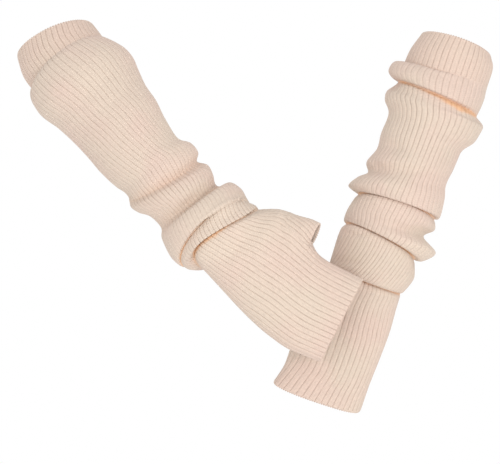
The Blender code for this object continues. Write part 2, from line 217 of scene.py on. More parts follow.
RIGHT_SLEEVE = [
    # left_x left_z right_x right_z rise drop y front back square slant turn
    Section(-22.0, -50.5, 48.5, 2.5, 15.0, 15.0, -11.0, 41.0, 41.0, 2.0, 0.0, -0.005),
    Section(-17.5, -60.5, 62.5, -5.0, 14.0, 14.0, -16.0, 46.0, 45.0, 2.0, 0.0, -0.01),
    Section(-11.5, -67.5, 69.5, -12.5, 12.5, 12.5, -20.0, 46.5, 45.0, 2.0, 0.0, -0.015),
    Section(3.0, -78.0, 75.0, -25.0, 11.0, 11.0, -26.0, 43.0, 42.0, 2.0, 0.0, -0.025),
    Section(19.0, -93.0, 81.0, -38.0, 10.0, 10.0, -32.0, 40.0, 40.0, 2.0, 0.0, -0.035),
    Section(31.5, -106.5, 91.0, -52.5, 10.0, 10.0, -38.0, 39.0, 39.0, 2.0, 0.0, -0.05),
    Section(41.0, -117.5, 99.0, -68.5, 9.0, 9.0, -43.0, 37.5, 38.0, 2.0, 0.0, -0.06),
    Section(55.0, -130.5, 112.0, -87.5, 6.5, 6.5, -49.0, 35.5, 37.0, 2.0, 0.0, -0.075),
    Section(62.0, -135.0, 122.5, -91.0, 3.0, 3.0, -51.0, 36.5, 36.0, 2.0, 0.0, -0.08),
    Section(66.0, -139.5, 129.0, -99.5, 0.0, 0.0, -53.0, 37.5, 39.0, 2.0, 0.0, -0.08),
    Section(67.0, -143.5, 128.0, -107.5, -3.5, -3.5, -54.0, 33.5, 34.0, 2.0, 0.0, -0.08),
    Section(68.5, -149.0, 137.5, -110.5, -2.0, -2.0, -55.0, 37.5, 37.0, 2.0, 0.0, -0.08),
    Section(76.0, -154.0, 142.5, -119.5, -1.0, -1.0, -56.5, 39.5, 40.0, 2.0, 0.0, -0.08),
    Section(85.5, -157.0, 144.0, -127.0, 0.0, 0.0, -58.0, 36.5, 38.0, 2.0, 0.0, -0.075),
    Section(95.5, -167.0, 148.5, -130.0, 1.0, 1.0, -59.0, 31.0, 33.0, 2.0, 0.0, -0.065),
    Section(96.0, -175.5, 158.0, -126.5, 4.0, 4.0, -60.0, 37.0, 36.0, 2.0, 0.0, -0.06),
    Section(99.0, -183.5, 167.5, -132.0, 8.0, 8.0, -61.5, 40.5, 39.0, 2.0, 0.0, -0.05),
    Section(105.0, -194.5, 172.0, -139.5, 12.0, 12.0, -63.0, 41.5, 39.0, 2.0, 0.0, -0.04),
    Section(111.5, -200.5, 174.0, -143.0, 14.5, 14.5, -64.5, 40.0, 37.5, 2.0, 0.0, -0.035),
    Section(115.0, -201.5, 175.5, -145.5, 16.5, 11.5, -65.0, 33.0, 32.0, 2.0, 0.0, -0.02),
    Section(118.5, -203.5, 178.0, -146.0, 12.5, 14.0, -65.5, 37.0, 36.0, 2.0, 3.0, 0.0),
    Section(125.0, -203.0, 181.0, -147.5, 8.0, 14.5, -66.5, 38.5, 36.0, 2.2, 9.5, 0.02),
    Section(129.5, -201.5, 182.0, -150.5, 10.5, 13.0, -67.5, 29.5, 28.0, 2.2, 10.5, 0.015),
    Section(133.5, -205.0, 187.0, -150.5, 8.5, 13.5, -69.0, 31.0, 27.0, 2.2, 8.5, 0.01),
    Section(143.0, -215.0, 196.0, -150.5, 6.5, 9.0, -72.0, 28.5, 24.5, 2.1, 4.0, 0.005),
    Section(155.0, -228.0, 207.0, -154.0, 4.0, 4.0, -75.5, 26.0, 22.5, 2.2, 1.0, -0.015),
    Section(168.0, -242.0, 219.5, -167.0, 2.0, 2.0, -79.0, 23.5, 20.5, 2.3, 0.0, -0.035),
    Section(181.0, -254.5, 229.0, -182.5, 0.5, 0.5, -82.0, 21.5, 19.0, 2.4, 0.0, -0.055),
    Section(195.0, -266.0, 241.5, -194.5, 0.0, 0.0, -84.5, 20.0, 18.0, 2.5, 0.0, -0.06),
    Section(209.0, -275.5, 255.5, -202.5, 0.0, 0.0, -86.5, 18.5, 17.5, 2.6, 0.0, -0.06),
    Section(223.5, -281.5, 266.5, -208.0, 0.0, 0.0, -88.0, 17.5, 17.0, 2.6, 0.0, -0.06),
    Section(237.0, -287.0, 275.5, -212.5, 0.0, 0.0, -89.0, 17.0, 17.0, 2.6, 0.0, -0.06),
]

RIGHT_THUMB = [
    # left_x left_z right_x right_z rise drop y front back square slant turn
    Section(199.0, -180.0, 203.0, -158.5, 0.0, 0.0, -78.0, 11.0, 11.0, 2.0, 0.0, 0.0),
    Section(211.0, -182.0, 212.0, -157.5, 0.5, 0.5, -80.5, 12.0, 12.0, 2.0, 0.0, 0.08),
    Section(222.0, -184.0, 222.5, -158.0, 1.0, 1.0, -82.5, 12.5, 12.5, 2.0, 0.0, 0.16),
    Section(226.5, -185.0, 231.0, -159.5, 1.5, 1.5, -83.5, 12.0, 12.0, 2.0, 0.0, 0.22),
    Section(229.5, -185.5, 238.0, -162.5, 2.5, 1.5, -84.0, 11.5, 11.5, 2.0, 0.0, 0.27),
]

LEFT_BAND = [
    # left_x left_z right_x right_z rise drop y front back square slant turn
    Section(330.0, 7.5, 393.5, -14.5, 6.5, 6.5, -13.0, 41.0, 41.0, 2.0, 0.0, 0.0),
    Section(320.5, -5.5, 395.0, -23.5, 6.0, 6.0, -15.0, 42.0, 42.0, 2.0, 0.0, 0.0),
    Section(314.5, -18.5, 389.5, -41.5, 3.5, 3.5, -17.0, 41.0, 41.0, 2.0, 0.0, 0.0),
]

LEFT_SLEEVE = [
    # left_x left_z right_x right_z rise drop y front back square slant turn
    Section(306.5, -17.0, 388.5, -45.0, 3.5, 3.5, -17.5, 43.0, 43.0, 2.0, 0.0, 0.0),
    Section(300.5, -24.5, 387.0, -51.5, 3.5, 3.5, -18.5, 45.5, 45.0, 2.0, 0.0, 0.0),
    Section(303.0, -30.5, 384.0, -59.0, 3.0, 3.0, -19.5, 46.0, 45.0, 2.0, 0.0, 0.0),
    Section(307.5, -33.5, 381.5, -64.0, 2.5, 2.5, -20.5, 45.0, 44.0, 2.0, 0.0, 0.0),
    Section(309.0, -35.5, 380.0, -67.5, 3.0, -1.0, -21.0, 37.0, 38.0, 2.0, 0.0, 0.0),
    Section(305.5, -39.0, 383.0, -71.0, -1.5, -1.5, -21.5, 42.0, 41.5, 2.0, 0.0, -0.005),
    Section(299.0, -43.5, 386.0, -76.0, 0.0, 0.0, -22.0, 44.0, 43.0, 2.0, 0.0, -0.005),
    Section(297.0, -51.5, 383.0, -83.0, 2.0, 2.0, -23.0, 44.0, 43.0, 2.0, 0.0, -0.01),
    Section(300.5, -63.0, 378.0, -90.5, 2.0, 2.0, -24.0, 41.0, 41.0, 2.0, 0.0, -0.015),
    Section(293.5, -82.0, 367.0, -98.0, 2.0, 2.0, -26.0, 39.0, 39.5, 2.0, 0.0, -0.025),
    Section(290.0, -95.5, 363.0, -105.5, 2.0, 2.0, -27.5, 38.5, 39.0, 2.0, 0.0, -0.03),
    Section(280.5, -108.0, 358.5, -116.0, 3.0, 3.0, -28.5, 39.5, 40.0, 2.0, 0.0, -0.035),
    Section(281.5, -117.5, 354.5, -124.0, 4.0, 4.0, -29.5, 36.5, 37.0, 2.0, 0.0, -0.04),
    Section(272.5, -121.5, 352.0, -130.5, 3.5, 3.5, -30.0, 40.0, 38.5, 2.0, 0.0, -0.045),
    Section(264.0, -129.0, 351.0, -142.0, 3.5, 3.5, -30.5, 42.0, 41.0, 2.0, 0.0, -0.05),
    Section(271.0, -135.0, 346.5, -158.5, 3.5, 3.5, -31.5, 41.0, 40.0, 2.0, 0.0, -0.055),
    Section(273.0, -137.0, 341.5, -160.0, 6.0, 0.0, -32.0, 33.5, 34.0, 2.0, 0.0, -0.06),
    Section(269.5, -140.5, 342.5, -164.0, 1.5, 1.5, -32.5, 38.0, 37.0, 2.0, 0.0, -0.065),
    Section(264.0, -149.0, 341.5, -170.0, 1.0, 1.0, -33.0, 39.0, 38.5, 2.0, 0.0, -0.07),
    Section(261.0, -155.5, 332.0, -175.5, 1.5, 1.5, -33.5, 37.5, 36.0, 2.0, 0.0, -0.08),
    Section(260.0, -159.5, 343.0, -190.5, 2.5, 2.5, -34.0, 39.5, 38.0, 2.0, 0.0, -0.09),
    Section(260.5, -161.5, 331.0, -197.5, 3.5, 3.5, -34.5, 38.0, 36.0, 2.0, 0.0, -0.095),
    Section(262.0, -163.5, 323.5, -196.0, 5.5, -0.5, -35.0, 29.5, 30.0, 2.0, 0.0, -0.1),
    Section(257.5, -167.5, 324.0, -200.0, 1.0, 1.0, -35.0, 32.0, 32.0, 2.0, 0.0, -0.095),
    Section(252.5, -181.0, 323.5, -212.5, -1.0, -1.0, -35.0, 32.0, 33.0, 2.0, 0.0, -0.07),
    Section(247.0, -199.5, 313.5, -225.5, -3.5, -3.5, -35.0, 29.0, 30.0, 2.0, 0.0, -0.035),
    Section(248.0, -202.0, 311.0, -226.5, -1.0, -6.0, -35.0, 22.0, 24.0, 2.0, 0.0, -0.03),
    Section(242.5, -206.5, 310.5, -230.0, -4.0, -4.0, -35.0, 25.0, 26.0, 2.0, 0.0, -0.02),
    Section(232.5, -217.5, 307.0, -241.5, -4.5, -4.5, -35.0, 23.0, 24.0, 2.1, 0.0, -0.01),
    Section(226.0, -233.0, 302.5, -258.0, -5.0, -5.0, -34.5, 21.0, 22.5, 2.2, 0.0, -0.005),
    Section(220.5, -249.0, 297.0, -274.0, -5.0, -5.0, -34.0, 20.0, 21.0, 2.4, 0.0, 0.0),
    Section(210.5, -279.5, 284.5, -305.5, -5.5, -5.5, -32.5, 18.5, 19.0, 2.5, 0.0, 0.005),
    Section(206.0, -291.5, 280.0, -318.0, -5.5, -5.5, -31.5, 18.0, 18.0, 2.6, 0.0, 0.02),
    Section(197.5, -304.5, 275.5, -331.0, -5.5, -5.5, -30.5, 17.5, 17.5, 2.6, 0.0, 0.03),
]

LEFT_THUMB = [
    # left_x left_z right_x right_z rise drop y front back square slant turn
    Section(235.5, -220.0, 250.0, -236.5, 0.0, 0.0, -34.5, 11.0, 11.0, 2.0, 0.0, 0.0),
    Section(221.0, -222.5, 238.5, -241.0, 0.0, 0.0, -34.5, 12.0, 12.0, 2.0, 0.0, 0.0),
    Section(211.5, -229.0, 229.0, -248.0, 0.0, 0.0, -34.0, 12.5, 12.5, 2.0, 0.0, 0.0),
    Section(202.0, -236.0, 217.0, -256.0, 0.0, 0.0, -33.5, 11.5, 11.5, 2.0, 0.0, 0.0),
]

# At rows of a sleeve, counted from the seam: how much farther apart its ribs
# stand on the front than on the back, how clearly they show in relief and in
# painted groove shade, and how far they sway to the left
Spread = namedtuple("Spread", "row share clear sway")
RIGHT_SPREADS = [
    Spread(1, -0.05, 0.8, 0.0),
    Spread(4, -0.08, 0.8, 0.0),
    Spread(9, -0.1, 0.7, 0.0),
    Spread(11, -0.15, 0.9, 0.0),
    Spread(13, -0.22, 1.1, 0.0),
    Spread(15, -0.24, 0.6, 0.0),
    Spread(18, -0.26, 0.35, 0.0),
    Spread(20, -0.26, 0.6, 0.0),
    Spread(22, -0.26, 1.5, 0.0),
    Spread(24, -0.1, 1.0, 0.0),
    Spread(27, 0.04, 1.0, 0.0),
    Spread(31, 0.08, 1.1, 0.0),
]
LEFT_SPREADS = [
    Spread(1, 0.0, 0.7, 0.0),
    Spread(5, -0.02, 0.9, 0.0),
    Spread(8, -0.12, 1.15, 0.0),
    Spread(13, -0.13, 1.15, 0.0),
    Spread(16, -0.14, 0.9, 0.025),
    Spread(17, -0.14, 0.9, -0.02),
    Spread(22, -0.22, 0.8, 0.02),
    Spread(23, -0.26, 0.9, 0.01),
    Spread(25, -0.32, 1.0, -0.01),
    Spread(27, -0.14, 1.0, 0.005),
    Spread(31, 0.14, 1.0, -0.035),
    Spread(34, 0.22, 1.0, -0.055),
]
# Ribs all round at the same distance
EVEN = (Spread(0, 0.0, 1.0, 0.0),)

# A fold's gap: the row of a sleeve at its bottom, counted from the seam, how far
# below that its painted shade stays dark at the left edge, where it is widest and
# at the right edge, how far across it is widest, how strong its soft painted shade
# is, and how far the cloth below it bulges
Gap = namedtuple("Gap", "row left widest right across soft bulge")
RIGHT_GAPS = [
    Gap(11, 0.1, 0.1, 0.0, 0.5, 1.0, 1.0),
    Gap(15, 0.0, 0.1, 0.4, 0.6, 0.8, 1.6),
    Gap(20, 1.0, 0.6, 0.0, 0.5, 0.2, 2.5),
    Gap(23, 0.5, 7.0, 0.3, 0.4, 0.3, 4.0),
]
LEFT_GAPS = [
    Gap(5, 0.6, 7.5, 0.6, 0.75, 0.3, 4.5),
    Gap(17, 0.8, 1.8, 0.4, 0.3, 0.5, 4.0),
    Gap(23, 0.6, 1.5, 0.6, 0.5, 0.5, 4.5),
    Gap(27, 0.6, 1.8, 0.6, 0.5, 0.5, 3.0),
]

# A soft crease: a bowed line in the front view, how deep it is (less than zero
# for a ridge), how wide, and whether it lies on the front or the back
Crease = namedtuple("Crease", "x1 z1 bow_x bow_z x2 z2 depth width face")
FRONT = -1
BACK = 1

RIGHT_CREASES = [
    # x1 z1 bow_x bow_z x2 z2 depth width face
    Crease(101.5, -118.0, 108.0, -111.5, 114.5, -103.5, 1.4, 4.0, FRONT),
    Crease(114.5, -148.5, 124.0, -141.5, 132.5, -130.5, 1.3, 3.5, FRONT),
    Crease(150.5, -194.5, 169.0, -183.0, 187.0, -162.0, 1.8, 6.0, FRONT),
    Crease(214.0, -158.0, 203.5, -165.0, 198.0, -183.0, 2.4, 7.0, FRONT),
    Crease(186.5, -178.0, 202.5, -189.0, 222.5, -203.5, 1.4, 12.0, FRONT),
    Crease(14.0, -62.0, 34.0, -50.0, 50.0, -26.0, 0.9, 7.0, FRONT),
    Crease(138.0, -158.0, 152.0, -148.5, 164.0, -143.0, -3.6, 5.0, FRONT),
    Crease(-5.0, -75.0, 20.0, -62.0, 48.0, -40.0, 1.2, 6.0, BACK),
    Crease(60.0, -120.0, 85.0, -112.0, 110.0, -95.0, 1.4, 5.0, BACK),
    Crease(110.0, -150.0, 125.0, -140.0, 140.0, -122.0, 1.4, 4.0, BACK),
    Crease(150.0, -200.0, 170.0, -188.0, 190.0, -165.0, 1.6, 6.0, BACK),
    Crease(185.0, -235.0, 205.0, -215.0, 225.0, -200.0, 1.2, 9.0, BACK),
]

LEFT_CREASES = [
    # x1 z1 bow_x bow_z x2 z2 depth width face
    Crease(315.0, -18.0, 335.5, -21.5, 360.0, -38.0, 1.5, 5.0, FRONT),
    Crease(299.5, -54.0, 314.0, -58.5, 332.0, -63.0, 1.0, 4.0, FRONT),
    Crease(297.0, -91.0, 305.0, -96.5, 314.0, -95.5, 1.7, 4.5, FRONT),
    Crease(283.5, -103.5, 289.0, -108.0, 293.5, -116.0, 1.3, 3.5, FRONT),
    Crease(283.5, -119.0, 308.5, -119.5, 352.0, -134.0, 1.4, 4.0, FRONT),
    Crease(319.5, -160.0, 329.5, -166.5, 340.0, -173.0, 1.6, 5.0, FRONT),
    Crease(252.0, -195.5, 265.5, -198.5, 277.0, -198.0, 1.5, 3.0, FRONT),
    Crease(261.0, -171.5, 272.0, -175.0, 283.0, -171.5, 2.2, 2.5, FRONT),
    Crease(310.0, -40.0, 335.0, -42.0, 365.0, -55.0, 1.4, 5.0, BACK),
    Crease(300.0, -85.0, 325.0, -92.0, 350.0, -88.0, 1.5, 5.0, BACK),
    Crease(290.0, -112.0, 315.0, -118.0, 340.0, -115.0, 1.2, 4.0, BACK),
    Crease(275.0, -150.0, 300.0, -152.0, 325.0, -165.0, 1.5, 4.5, BACK),
    Crease(240.0, -240.0, 262.0, -255.0, 280.0, -250.0, 1.3, 8.0, BACK),
]


def section_frame(section):
    """The middle of a section, its half width and its directions across and up the tube."""
    left = Vector((section.left_x, section.y, section.left_z))
    right = Vector((section.right_x, section.y, section.right_z))
    across = (right - left) / 2
    half = across.length
    across.normalize()
    up = Vector((-across.z, 0.0, across.x))
    return (left + right) / 2, half, across, up


def rounded(wave, square):
    """A cosine or sine round a section, bent so that its curve is as square as given."""
    return np.sign(wave) * np.abs(wave) ** (2 / square)


def ring(section, shares, spread=0.0, sway=0.0):
    """Points at shares of a section's length, from its right edge by way of its front.

    The spread sets them farther apart on the front, and closer on the back. The
    sway moves them to the left on both.
    """
    middle, half, across, up = section_frame(section)
    angles = np.linspace(0, math.tau, MEASURE_POINTS + 1)
    turn_x = rounded(np.cos(angles), section.square)
    turn_y = rounded(np.sin(angles), section.square)
    reach = np.where(turn_y > 0, section.front, section.back)
    lift = np.where(turn_y > 0, section.rise - section.slant * turn_x, section.drop)
    line = np.array(middle) + np.outer(half * turn_x, across) + np.outer(lift * turn_y, up)
    line[:, 1] -= reach * turn_y
    run = run_along(line)
    places = (shares + section.turn) % 1.0
    shift = sway * np.sin(math.tau * places)
    places += shift + spread / math.tau * np.sin(math.tau * (places - FRONT_SHARE))
    targets = places % 1.0 * run[-1]
    return np.stack([np.interp(targets, run, line[:, k]) for k in range(3)], axis=1)


def straightening(sections):
    """How far the ribs sway at each section to run straight while the edges bend."""
    middles = np.array([section_frame(s)[0] for s in sections])
    run = run_along(middles)
    sways = []
    for section, middle, place in zip(sections, middles, run):
        across = np.array(section_frame(section)[2])
        weight = np.exp(-(((run - place) / STRAIGHT_REACH) ** 2) / 2)
        straight = np.polyfit(run - place, middles, 1, w=weight)[-1]
        sways.append((middle - straight).dot(across) / tube_girth([section]))
    return sways


def run_along(line):
    """The distance along a line at each of its points."""
    steps = np.linalg.norm(np.diff(line, axis=0), axis=1)
    return np.concatenate(([0.0], np.cumsum(steps)))


def moved_down(section, distance):
    """The same section a little further down the tube."""
    shift = section_frame(section)[3] * -distance
    return section._replace(
        left_x=section.left_x + shift.x,
        left_z=section.left_z + shift.z,
        right_x=section.right_x + shift.x,
        right_z=section.right_z + shift.z,
    )


def smooth_rows(rings):
    """Closer rings on smooth curves through the given ones, and each one's place among them."""
    before = 2 * rings[0] - rings[1]
    after = 2 * rings[-1] - rings[-2]
    row = [before, *rings, after]
    gaps = [np.linalg.norm(b - a, axis=1).mean() for a, b in zip(row, row[1:])]
    knots = np.concatenate(([0.0], np.cumsum(np.sqrt(gaps))))
    smooth = []
    places = []
    for i in range(1, len(row) - 2):
        p0, p1, p2, p3 = row[i - 1 : i + 3]
        t0, t1, t2, t3 = knots[i - 1 : i + 3]
        steps = max(2, round(gaps[i] / ROW_SPACING))
        for t in np.linspace(t1, t2, steps, endpoint=False):
            a1 = (p0 * (t1 - t) + p1 * (t - t0)) / (t1 - t0)
            a2 = (p1 * (t2 - t) + p2 * (t - t1)) / (t2 - t1)
            a3 = (p2 * (t3 - t) + p3 * (t - t2)) / (t3 - t2)
            b1 = (a1 * (t2 - t) + a2 * (t - t0)) / (t2 - t0)
            b2 = (a2 * (t3 - t) + a3 * (t - t1)) / (t3 - t1)
            smooth.append((b1 * (t2 - t) + b2 * (t - t1)) / (t2 - t1))
            places.append(i - 1 + (t - t1) / (t2 - t1))
    smooth.append(rings[-1])
    places.append(len(rings) - 1)
    return np.array(smooth), np.array(places)


def outward(rings):
    """The outward direction at each point of a grid of rings that run down the tube."""
    around = np.roll(rings, -1, axis=1) - np.roll(rings, 1, axis=1)
    down = np.gradient(rings, axis=0)
    normals = np.cross(around, down)
    return normals / np.linalg.norm(normals, axis=2, keepdims=True)


def creased(rings, creases):
    """The rings pressed in along soft creases and out along ridges."""
    pressed = rings.copy()
    normals = outward(rings)
    for crease in creases:
        t = np.linspace(0, 1, CREASE_POINTS)[:, None]
        start = np.array((crease.x1, crease.z1))
        bow = np.array((crease.bow_x, crease.bow_z))
        end = np.array((crease.x2, crease.z2))
        line = (1 - t) ** 2 * start + 2 * t * (1 - t) * bow + t**2 * end
        flat = rings[:, :, [0, 2]]
        away = np.linalg.norm(flat[:, :, None, :] - line, axis=3)
        nearest = away.argmin(axis=2)
        wave = np.sin(np.pi * (CREASE_START + CREASE_SPAN * t[nearest, 0]))
        facing = np.clip(normals[:, :, 1] * crease.face * CREASE_FACING, 0, 1)
        across = np.exp(-((away.min(axis=2) / crease.width) ** 2))
        amount = crease.depth * across * wave**CREASE_POWER * facing
        pressed -= normals * amount[:, :, None]
    return pressed


def below_gap(rings, places, gap):
    """How far below a fold's gap each point lies along the cloth."""
    steps = np.linalg.norm(np.diff(rings, axis=0), axis=2)
    run = np.concatenate([np.zeros((1, rings.shape[1])), np.cumsum(steps, axis=0)])
    return run - run[np.abs(places - gap.row).argmin()]


def bulged(rings, places, gaps):
    """The rings pushed out just below each gap, at the front and the back."""
    for gap in gaps:
        below = np.maximum(below_gap(rings, places, gap), 0) / BULGE_PLACE
        normals = outward(rings)
        facing = np.clip(BULGE_FACING * np.abs(normals[:, :, 1]) - BULGE_CUTOFF, 0, 1)
        amount = gap.bulge * below * np.exp(1 - below) * facing
        rings = rings + normals * amount[:, :, None]
    return rings


def gap_shades(rings, places, shares, gaps):
    """How much painted shade each point gets, dark in the gaps of folds and soft beside them, from 0
    to 1.
    """
    rightness = (1 + np.cos(math.tau * shares)) / 2
    front = np.clip(GAP_FACING * np.sin(math.tau * shares), 0, 1)
    dark = np.zeros(rings.shape[:2])
    soft = np.zeros(rings.shape[:2])
    for gap in gaps:
        edges = gap.left + (gap.right - gap.left) * rightness
        widths = (gap.left, gap.widest, gap.right)
        reach = np.interp(rightness, (0.0, gap.across, 1.0), widths)
        reach = edges + (reach - edges) * front
        below = below_gap(rings, places, gap)
        beyond = np.maximum(np.abs(below - reach / 2) - reach / 2, 0)
        dark = np.maximum(dark, np.minimum(reach, 1) * np.exp(-((beyond / GAP_EDGE) ** 2)))
        soft = np.maximum(soft, gap.soft * np.exp(-((below / SOFT_REACH) ** 2)))
    return dark, soft


def flowed_together(rings, other, free=0):
    """The rings swelled near another tube, so that both meet in one rounded form.

    The swelling dies out over the free rows at the end of the rings.
    """
    corners = other.reshape(-1, 3).tolist()
    form = BVHTree.FromPolygons(corners, capped_faces(*other.shape[:2]))
    normals = outward(rings)
    moved = rings.copy()
    low = other.min(axis=(0, 1)) - JOINT_REACH
    high = other.max(axis=(0, 1)) + JOINT_REACH
    for i, j in np.argwhere(((rings > low) & (rings < high)).all(axis=2)):
        place, facing, _, away = form.find_nearest(Vector(rings[i, j]), JOINT_REACH)
        if place is None:
            continue
        share = 1 - away / JOINT_REACH
        own = Vector(normals[i, j])
        toward = (own * (1 - share / 2) + facing * share / 2).normalized()
        ease = min(1.0, (len(rings) - 1 - i) / free) if free else 1.0
        push = ease * share**2 * JOINT_SWELL / max(toward.dot(own), JOINT_OUTWARD)
        moved[i, j] += np.array(toward) * push
    return moved


def grid_faces(first, count, rows):
    """Quads between the rows of a closed tube whose points start at first."""
    i, j = np.meshgrid(np.arange(rows - 1), np.arange(count), indexing="ij")
    a = first + i * count + j
    b = first + i * count + (j + 1) % count
    return np.stack([a, b, b + count, a + count], axis=-1).reshape(-1, 4).tolist()


def capped_faces(rows, count):
    """The faces of a tube of rings with one more face across each end."""
    faces = grid_faces(0, count, rows)
    faces.append(list(range(count))[::-1])
    faces.append([count * (rows - 1) + j for j in range(count)])
    return faces


def rim_faces(outer, count, inner, inner_count):
    """Faces that join a row of the outside to the row of fewer points inside it."""
    faces = []
    for k in range(inner_count):
        start = k * INNER_POINTS
        face = [inner + (k + 1) % inner_count, inner + k]
        face += [outer + (start + j) % count for j in range(INNER_POINTS + 1)]
        faces.append(face)
    return faces


def rim_points(edge, normal, down, wall):
    """Rows that carry a wall's outside round its edge to its inside."""
    middle = edge - normal * wall / 2
    rows = []
    for k in range(1, ROUND_STEPS):
        turn = math.pi * k / ROUND_STEPS
        rows.append(middle + (normal * math.cos(turn) + down * math.sin(turn)) * wall / 2)
    return rows


def with_rims(rows):
    """Values at the rings, with the first and the last repeated for the rows of the rims."""
    extra = ROUND_STEPS - 1
    return np.concatenate([rows[:1].repeat(extra, axis=0), rows, rows[-1:].repeat(extra, axis=0)])


def rib_shares(ribs):
    """Shares of the way round a tube, at each place across each rib."""
    return np.array([(k + s) / ribs for k in range(ribs) for s in RIB_POINTS])


def tube_form(sections, ribs, spreads=EVEN, gaps=(), creases=()):
    """A tube's rings, with the painted shade of each point, dark in gaps and soft beside them, and how
    clearly ribbed it is.
    """
    shares = rib_shares(ribs)
    rows, spread, clear, sway = zip(*spreads)
    at = range(len(sections))
    spread = np.interp(at, rows, spread)
    sway = np.interp(at, rows, sway)
    if spreads is not EVEN:
        sway += straightening(sections)
    moves = zip(sections, spread, sway)
    rings, places = smooth_rows(np.array([ring(s, shares, *move) for s, *move in moves]))
    rings = creased(bulged(rings, places, gaps), creases)
    dark, soft = gap_shades(rings, places, shares, gaps)
    clear = np.interp(places, rows, clear)[:, None] * np.ones(len(shares))
    return rings, (dark, soft, clear)


def place_object(name, data):
    """A new object in the scene."""
    item = bpy.data.objects.new(name, data)
    bpy.context.scene.collection.objects.link(item)
    return item


def cloth_tube(name, rings, folds, ribs, wall):
    """A closed cloth tube with rounded edges, which knows the places of its ribs and stitches."""
    shares = rib_shares(ribs)
    count = len(shares)
    normals = outward(rings)
    down = np.gradient(rings, axis=0)
    down /= np.linalg.norm(down, axis=2, keepdims=True)
    top = rim_points(rings[0], normals[0], -down[0], wall)[::-1]
    bottom = rim_points(rings[-1], normals[-1], down[-1], wall)
    outside = np.array([*top, *rings, *bottom])
    inner_at = list(range(0, len(rings), INNER_ROWS))
    if inner_at[-1] != len(rings) - 1:
        inner_at.append(len(rings) - 1)
    inside = (rings - normals * wall)[inner_at][:, ::INNER_POINTS]
    rows = len(outside)
    inner_rows, inner_count = inside.shape[:2]
    inner_first = rows * count

    faces = grid_faces(0, count, rows)
    faces += [face[::-1] for face in grid_faces(inner_first, inner_count, inner_rows)]
    faces += [face[::-1] for face in rim_faces(0, count, inner_first, inner_count)]
    last_outer = count * (rows - 1)
    last_inner = inner_first + inner_count * (inner_rows - 1)
    faces += rim_faces(last_outer, count, last_inner, inner_count)
    points = np.concatenate([outside.reshape(-1, 3), inside.reshape(-1, 3)])
    mesh = bpy.data.meshes.new(name)
    mesh.from_pydata((points * MM).tolist(), [], faces)

    dark, soft, clear = folds
    rib = shares * ribs
    course = run_along(rings.mean(axis=1)) / STITCH
    rise = np.linspace(*EDGE_RELIEF, ROUND_STEPS - 1)[:, None] * np.ones(count)
    relief = LEAST_RELIEF + CLEAR_RELIEF * clear + GAP_RELIEF * dark
    relief = np.concatenate([rise, relief, rise[::-1]])
    rib_at = np.concatenate([np.tile(rib, rows), np.tile(rib[::INNER_POINTS], inner_rows)])
    outer_along = np.repeat(with_rims(course), count)
    inner_along = np.repeat(course[inner_at], inner_count)
    point_attribute(mesh, "rib", rib_at)
    point_attribute(mesh, "relief", relief, np.zeros((inner_rows, inner_count)))
    # The painted shades in and beside the gaps of folds, and how clear the ribs are
    for label, shade in (("gap", dark), ("soft_shade", soft), ("clear", clear)):
        point_attribute(mesh, label, with_rims(shade), shade[inner_at][:, ::INNER_POINTS])
    add_knit_uv(mesh, rib_at, np.concatenate([outer_along, inner_along]), ribs)
    mesh.shade_smooth()
    return place_object(name, mesh)


def point_attribute(mesh, name, *parts):
    """A number at each point of a mesh, from parts that follow one another."""
    values = np.concatenate([part.ravel() for part in parts])
    attribute = mesh.attributes.new(name, "FLOAT", "POINT")
    attribute.data.foreach_set("value", values.astype(np.float32))


def add_knit_uv(mesh, rib_at, along_at, ribs):
    """A UV map that counts ribs across and stitches along, unbroken where the tube closes."""
    corners = np.zeros(len(mesh.loops), dtype=np.int32)
    mesh.loops.foreach_get("vertex_index", corners)
    sizes = np.zeros(len(mesh.polygons), dtype=np.int32)
    mesh.polygons.foreach_get("loop_total", sizes)
    face_of = np.repeat(np.arange(len(sizes)), sizes)
    across = rib_at[corners]
    widest = np.zeros(len(sizes))
    np.maximum.at(widest, face_of, across)
    across = np.where(across < widest[face_of] - ribs / 2, across + ribs, across)
    places = np.stack([across, along_at[corners]], axis=1)
    layer = mesh.uv_layers.new(name="knit")
    layer.data.foreach_set("uv", places.astype(np.float32).ravel())


def new_tree(name, inputs):
    """A Geometry Nodes tree with its inputs, its input node and its output node."""
    tree = bpy.data.node_groups.new(name, "GeometryNodeTree")
    sockets = [("Geometry", "Geometry"), *inputs, ("Material", "Material")]
    for label, kind in sockets:
        tree.interface.new_socket(label, in_out="INPUT", socket_type="NodeSocket" + kind)
    tree.interface.new_socket("Geometry", in_out="OUTPUT", socket_type="NodeSocketGeometry")
    return tree, tree.nodes.new("NodeGroupInput"), tree.nodes.new("NodeGroupOutput")


def end_tree(tree, geometry, material, end):
    """Gives what a tree has made its material and hands it out."""
    sockets = {"Geometry": geometry, "Material": material}
    dressed = add_node(tree, "GeometryNodeSetMaterial", sockets)
    tree.links.new(dressed.outputs[0], end.inputs[0])


def add_node(tree, kind, sockets=(), **settings):
    """A node with its settings, and its inputs set or linked to other sockets."""
    node = tree.nodes.new(kind)
    for key, value in settings.items():
        setattr(node, key, value)
    for key, value in dict(sockets).items():
        if isinstance(value, bpy.types.NodeSocket):
            tree.links.new(value, node.inputs[key])
        else:
            node.inputs[key].default_value = value
    return node


def math_node(tree, operation, a, b=0.0, c=0.0):
    """A sum that one node works out."""
    return add_node(tree, "ShaderNodeMath", {0: a, 1: b, 2: c}, operation=operation).outputs[0]


def product(tree, *values):
    """Values or sockets multiplied with one another."""
    result = values[0]
    for value in values[1:]:
        result = math_node(tree, "MULTIPLY", result, value)
    return result


def scaled(tree, value, by, plus):
    """A socket's value times a number, plus another."""
    return math_node(tree, "MULTIPLY_ADD", value, by, plus)


def ramp_between(tree, value, low, high):
    """0 below low, 1 above high, and smooth between them."""
    sockets = {"Value": value, "From Min": low, "From Max": high}
    kind = "ShaderNodeMapRange"
    return add_node(tree, kind, sockets, interpolation_type="SMOOTHSTEP").outputs["Result"]


